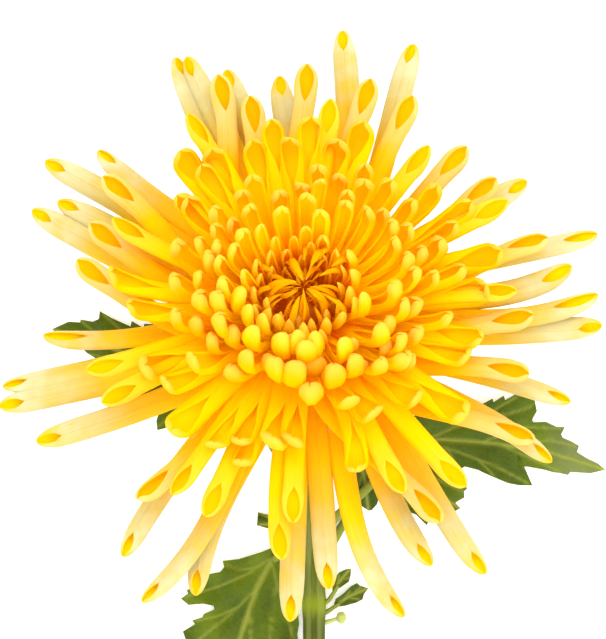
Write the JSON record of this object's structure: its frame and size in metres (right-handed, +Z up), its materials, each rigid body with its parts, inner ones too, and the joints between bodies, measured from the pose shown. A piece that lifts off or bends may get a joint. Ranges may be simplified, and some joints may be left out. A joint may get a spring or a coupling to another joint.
{
  "type": "spider chrysanthemum",
  "caption": "Cut spider chrysanthemum lying on its stem, with a large bloom of slender tubular yellow florets facing up on a bent neck, and lobed, toothed leaves.",
  "frame": {"origin": "on the surface that the flower lies on, under the middle of its footprint", "axes": "+Z up from the surface, with the bloom facing up and leaning 22 degrees towards +Y; the stem lies along -Y"},
  "size_m": [0.1412, 0.2586, 0.0716],
  "materials": {
    "outer_ray": "satin",
    "golden_ray": "satin",
    "inner_ray": "satin",
    "receptacle": "matte",
    "bract": "matte",
    "stem": "matte",
    "leaf": "matte",
    "bud": "matte"
  },
  "bodies": {
    "root": {"receptacle": "receptacle", "involucre": "bract", "outer_floret_01": "outer_ray", "outer_floret_02": "outer_ray", "outer_floret_03": "outer_ray", "outer_floret_04": "outer_ray", "outer_floret_05": "outer_ray", "outer_floret_06": "outer_ray", "outer_floret_07": "outer_ray", "outer_floret_08": "outer_ray", "outer_floret_09": "outer_ray", "outer_floret_10": "outer_ray", "outer_floret_11": "outer_ray", "outer_floret_12": "outer_ray", "outer_floret_13": "outer_ray", "outer_floret_14": "outer_ray", "outer_floret_15": "outer_ray", "outer_floret_16": "outer_ray", "outer_floret_17": "outer_ray", "outer_floret_18": "outer_ray", "outer_floret_19": "outer_ray", "outer_floret_20": "outer_ray", "outer_floret_21": "outer_ray", "outer_floret_22": "outer_ray", "outer_floret_23": "outer_ray", "outer_floret_24": "outer_ray", "outer_floret_25": "outer_ray", "outer_floret_26": "outer_ray", "outer_floret_27": "outer_ray", "outer_floret_28": "outer_ray", "outer_floret_29": "outer_ray", "second_floret_01": "golden_ray", "second_floret_02": "golden_ray", "second_floret_03": "golden_ray", "second_floret_04": "golden_ray", "second_floret_05": "golden_ray", "second_floret_06": "golden_ray", "second_floret_07": "golden_ray", "second_floret_08": "golden_ray", "second_floret_09": "golden_ray", "second_floret_10": "golden_ray", "second_floret_11": "golden_ray", "second_floret_12": "golden_ray", "second_floret_13": "golden_ray", "second_floret_14": "golden_ray", "second_floret_15": "golden_ray", "second_floret_16": "golden_ray", "crown_florets": "golden_ray", "centre_florets": "inner_ray", "stem": "stem", "leaf_right": "leaf", "leaf_lower_right": "leaf", "leaf_folded": "leaf", "leaf_left": "leaf", "leaf_lower_left": "leaf", "bract_left": "leaf", "shoot_leaf_upper": "leaf", "shoot_leaf_lower": "leaf", "bud": "bud"}
  },
  "joints": []
}
